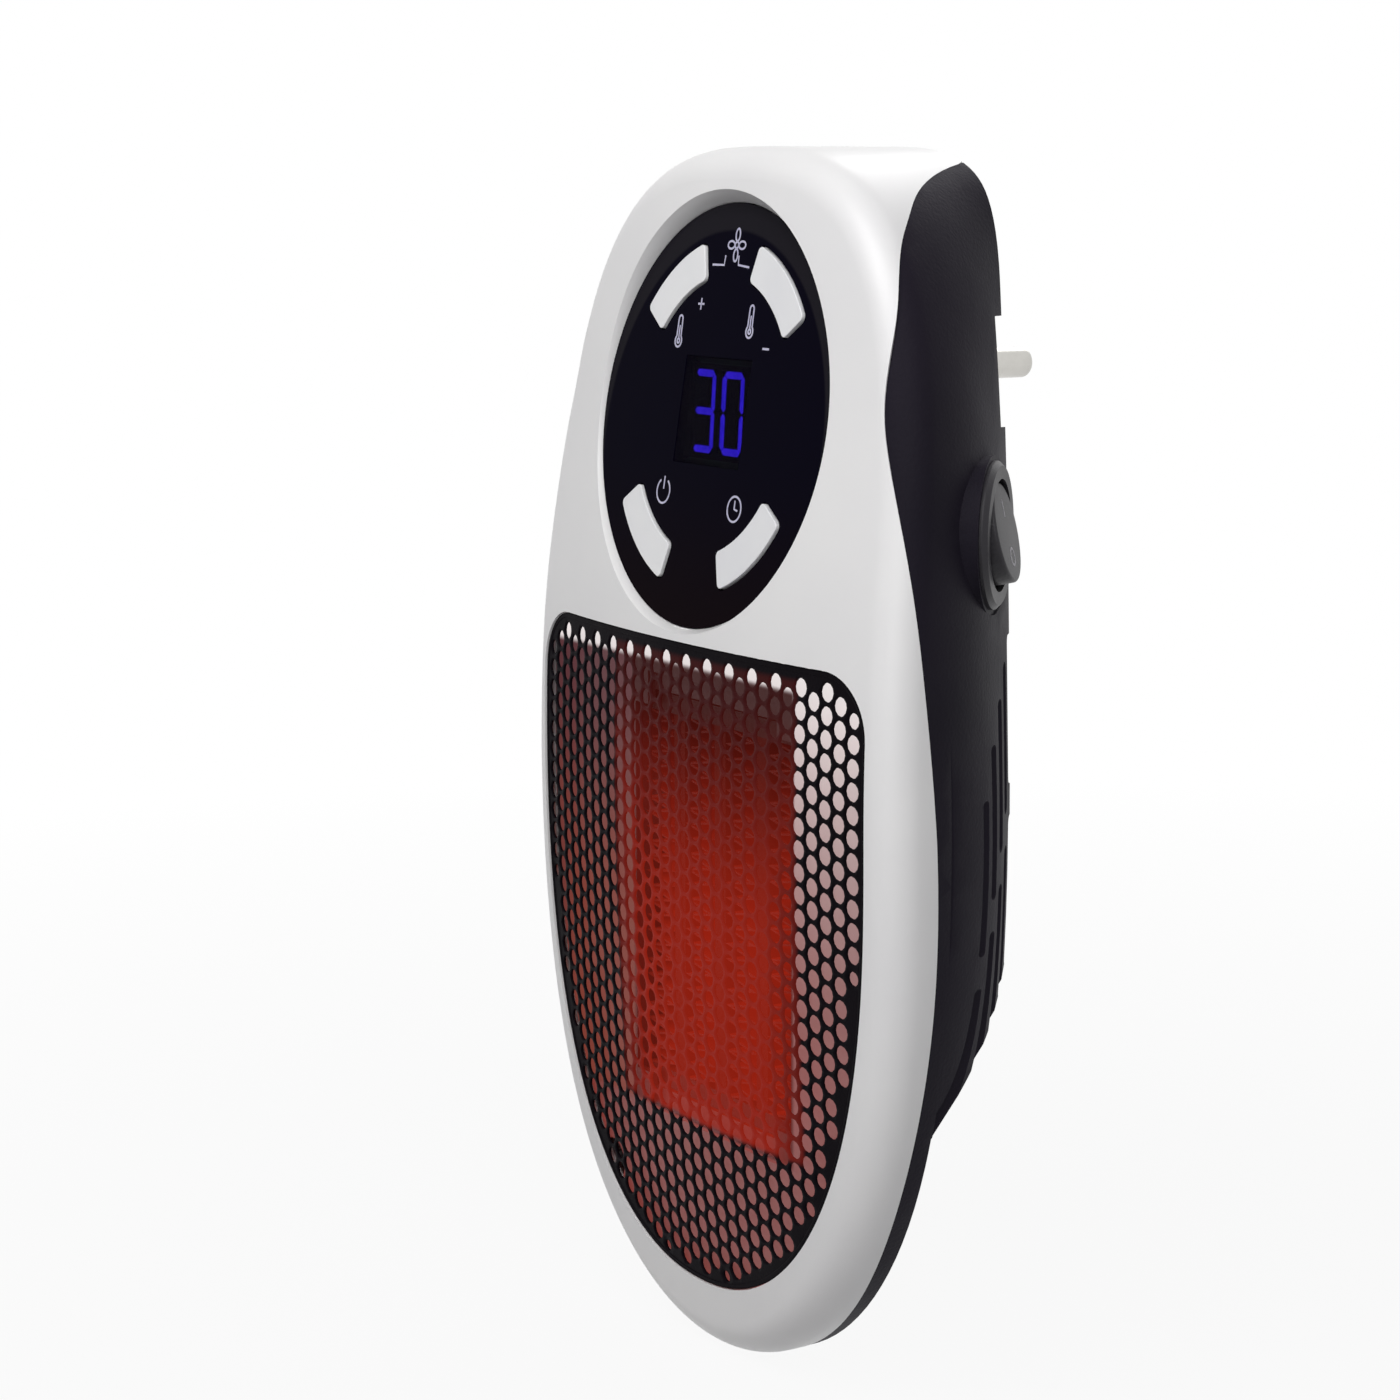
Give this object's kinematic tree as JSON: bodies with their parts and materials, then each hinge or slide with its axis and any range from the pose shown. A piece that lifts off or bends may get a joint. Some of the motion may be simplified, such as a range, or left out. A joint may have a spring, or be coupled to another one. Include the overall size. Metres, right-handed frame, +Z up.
{
  "type": "space heater",
  "caption": "Plug-in wall space heater with a perforated curved grille, a round touch panel, a side rocker switch and a plug it swivels on.",
  "frame": {"origin": "middle of the plug's face, on the wall plane, between the two pins", "axes": "+X to the right of someone facing the heater, +Y into the wall along the pins, +Z up"},
  "size_m": [0.1062, 0.0593, 0.1871],
  "materials": {
    "white_plastic": "glossy",
    "charcoal_plastic": "fine matte",
    "black_metal": "satin",
    "panel_gloss": "high gloss",
    "key_gloss": "high gloss",
    "smoky_lens": "clear gloss",
    "display_plastic": "matte",
    "plunger_plastic": "matte",
    "board_green": "solder resist",
    "chip_black": "matte",
    "frame_white": "matte",
    "heater_ceramic": "matte",
    "fin_aluminium": "plain",
    "rail_metal": "plain",
    "fan_plastic": "matte",
    "motor_metal": "plain",
    "screw_steel": "plain",
    "pin_brass": "plated",
    "relay_blue": "satin",
    "tape_yellow": "satin",
    "ferrite": "matte",
    "can_black": "satin",
    "terminal_green": "satin",
    "cutout_metal": "plain"
  },
  "bodies": {
    "plug": {"plug_body": "charcoal_plastic", "plug_pins": "pin_brass", "plug_contacts": "pin_brass"},
    "rocker_button": {"rocker": "charcoal_plastic"},
    "fan_wheel": {"fan_rotor": "fan_plastic"},
    "temp_up_button": {"key_temp_up": "key_gloss", "plunger_temp_up": "plunger_plastic"},
    "temp_down_button": {"key_temp_down": "key_gloss", "plunger_temp_down": "plunger_plastic"},
    "power_button": {"key_power": "key_gloss", "plunger_power": "plunger_plastic"},
    "timer_button": {"key_timer": "key_gloss", "plunger_timer": "plunger_plastic"},
    "housing": {"front_shell": "white_plastic", "rear_shell": "charcoal_plastic", "grille": "black_metal", "control_panel": "panel_gloss", "display_lens": "smoky_lens", "display_module": "display_plastic", "control_board": "board_green", "control_chip": "chip_black", "tact_switches": "chip_black", "board_screws": "screw_steel", "heater_frame": "frame_white", "ptc_bars": "heater_ceramic", "ptc_fins": "fin_aluminium", "ptc_rails": "rail_metal", "thermal_cutout": "cutout_metal", "fan_frame": "fan_plastic", "fan_motor": "motor_metal", "fan_screws": "screw_steel", "power_board": "board_green", "power_board_screws": "screw_steel", "relay": "relay_blue", "transformer": "tape_yellow", "transformer_core": "ferrite", "capacitors": "can_black", "terminal_block": "terminal_green", "switch_body": "charcoal_plastic", "switch_terminals": "pin_brass", "swivel_retainer": "charcoal_plastic", "retainer_screws": "screw_steel", "housing_screws": "screw_steel"}
  },
  "joints": [
    {"name": "plug_swivel", "type": "hinge", "parent": "plug", "child": "housing", "pos_m": [0, 0, 0], "axis": [0, 1, 0], "range_deg": [-90, 90]},
    {"name": "temp_up_press", "type": "slide", "parent": "housing", "child": "temp_up_button", "axis": [0, 0.9877, -0.1564], "range_m": [0, 0.0005], "stiffness_N_per_m": 3000},
    {"name": "temp_down_press", "type": "slide", "parent": "housing", "child": "temp_down_button", "axis": [0, 0.9877, -0.1564], "range_m": [0, 0.0005], "stiffness_N_per_m": 3000},
    {"name": "power_press", "type": "slide", "parent": "housing", "child": "power_button", "axis": [0, 0.9877, -0.1564], "range_m": [0, 0.0005], "stiffness_N_per_m": 3000},
    {"name": "timer_press", "type": "slide", "parent": "housing", "child": "timer_button", "axis": [0, 0.9877, -0.1564], "range_m": [0, 0.0005], "stiffness_N_per_m": 3000},
    {"name": "rocker_tilt", "type": "hinge", "parent": "housing", "child": "rocker_button", "pos_m": [0.04303, -0.01234, -0.0225], "axis": [-0.682, 0.7314, 0], "range_deg": [0, 24]},
    {"name": "fan_spin", "type": "hinge", "parent": "housing", "child": "fan_wheel", "pos_m": [0, -0.0174, -0.072], "axis": [0, 1, 0], "continuous": true}
  ]
}
